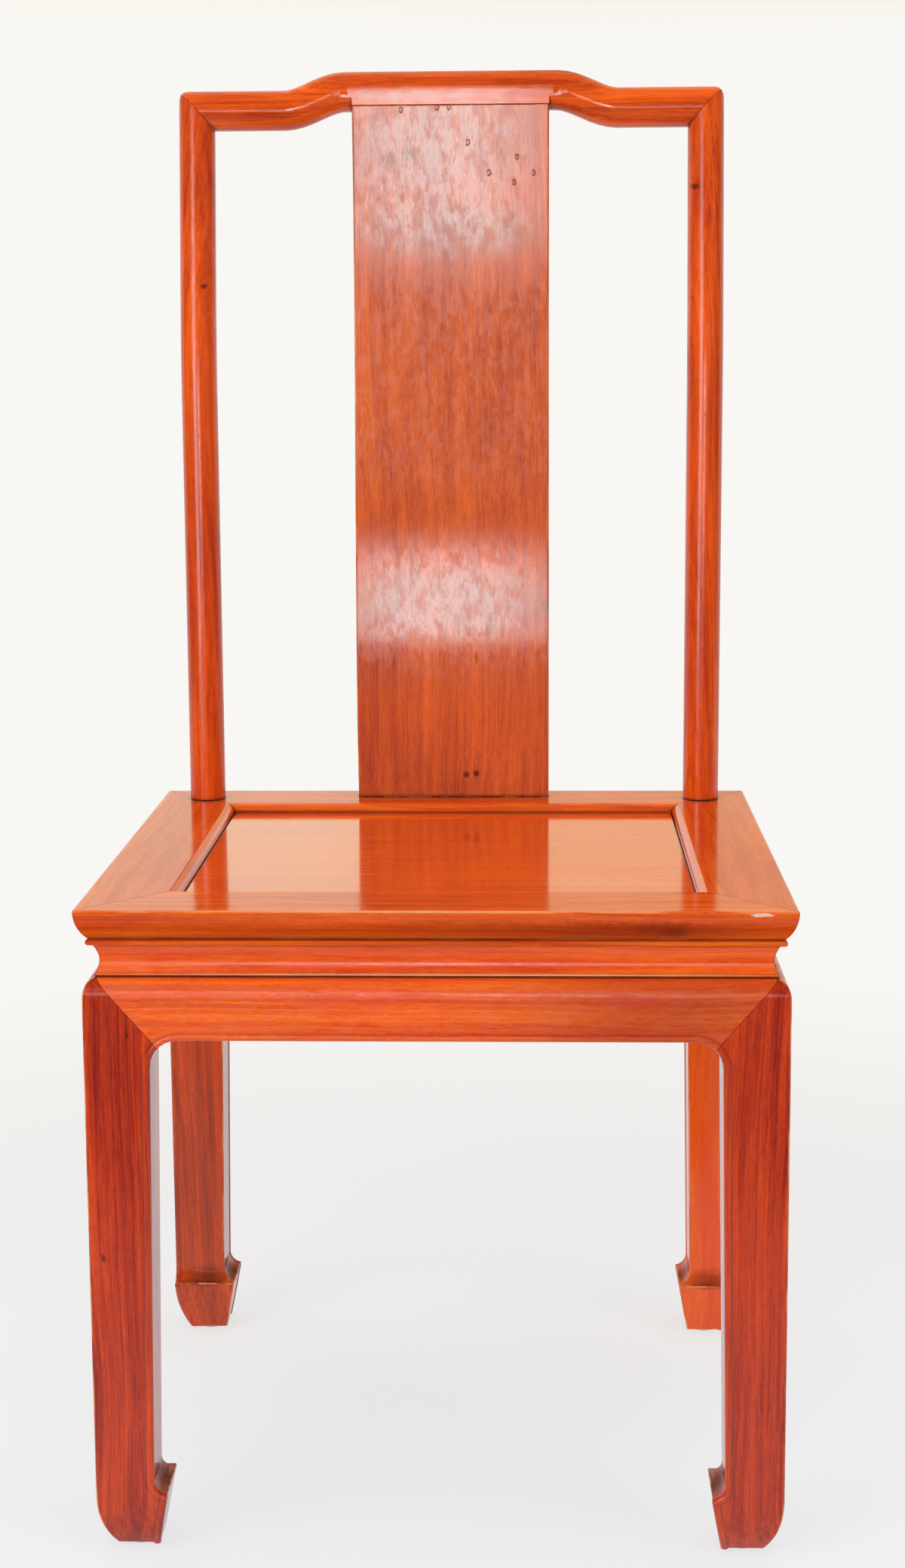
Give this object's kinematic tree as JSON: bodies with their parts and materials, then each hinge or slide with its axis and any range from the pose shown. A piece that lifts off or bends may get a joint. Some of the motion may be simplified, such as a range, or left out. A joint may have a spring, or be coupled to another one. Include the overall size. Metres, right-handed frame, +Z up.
{
  "type": "side chair",
  "caption": "Armless wooden side chair with a humped crest rail, curved back splat, framed panel seat, hollow waist and square legs on inward hoof feet.",
  "frame": {"origin": "on the floor, under the middle of the chair's overall width and depth", "axes": "+Z up, +X to the right as seen from the front, -Y towards the front of the seat"},
  "size_m": [0.5, 0.4695, 1.0857],
  "materials": {
    "rosewood_legs": "dark red rosewood under glossy lacquer",
    "rosewood_aprons": "bright orange rosewood under glossy lacquer",
    "rosewood_seat": "orange rosewood polished to a soft mirror",
    "rosewood_back": "red brown rosewood under glossy lacquer",
    "inner_wood": "plain planed wood",
    "glides": "off-white moulded plastic"
  },
  "bodies": {
    "root": {"crest_rail": "rosewood_back", "left_back_post": "rosewood_back", "right_back_post": "rosewood_back", "back_splat": "rosewood_back", "seat_front_rail": "rosewood_seat", "seat_rear_rail": "rosewood_seat", "seat_left_rail": "rosewood_seat", "seat_right_rail": "rosewood_seat", "seat_panel": "rosewood_seat", "seat_batten_left": "inner_wood", "seat_batten_right": "inner_wood", "waist_front": "rosewood_aprons", "waist_rear": "rosewood_aprons", "waist_left": "rosewood_aprons", "waist_right": "rosewood_aprons", "apron_front": "rosewood_aprons", "apron_rear": "rosewood_aprons", "apron_left": "rosewood_aprons", "apron_right": "rosewood_aprons", "leg_front_left": "rosewood_legs", "leg_front_right": "rosewood_legs", "leg_rear_left": "rosewood_legs", "leg_rear_right": "rosewood_legs", "foot_glide_front_left": "glides", "foot_glide_front_right": "glides", "foot_glide_rear_left": "glides", "foot_glide_rear_right": "glides"}
  },
  "joints": []
}
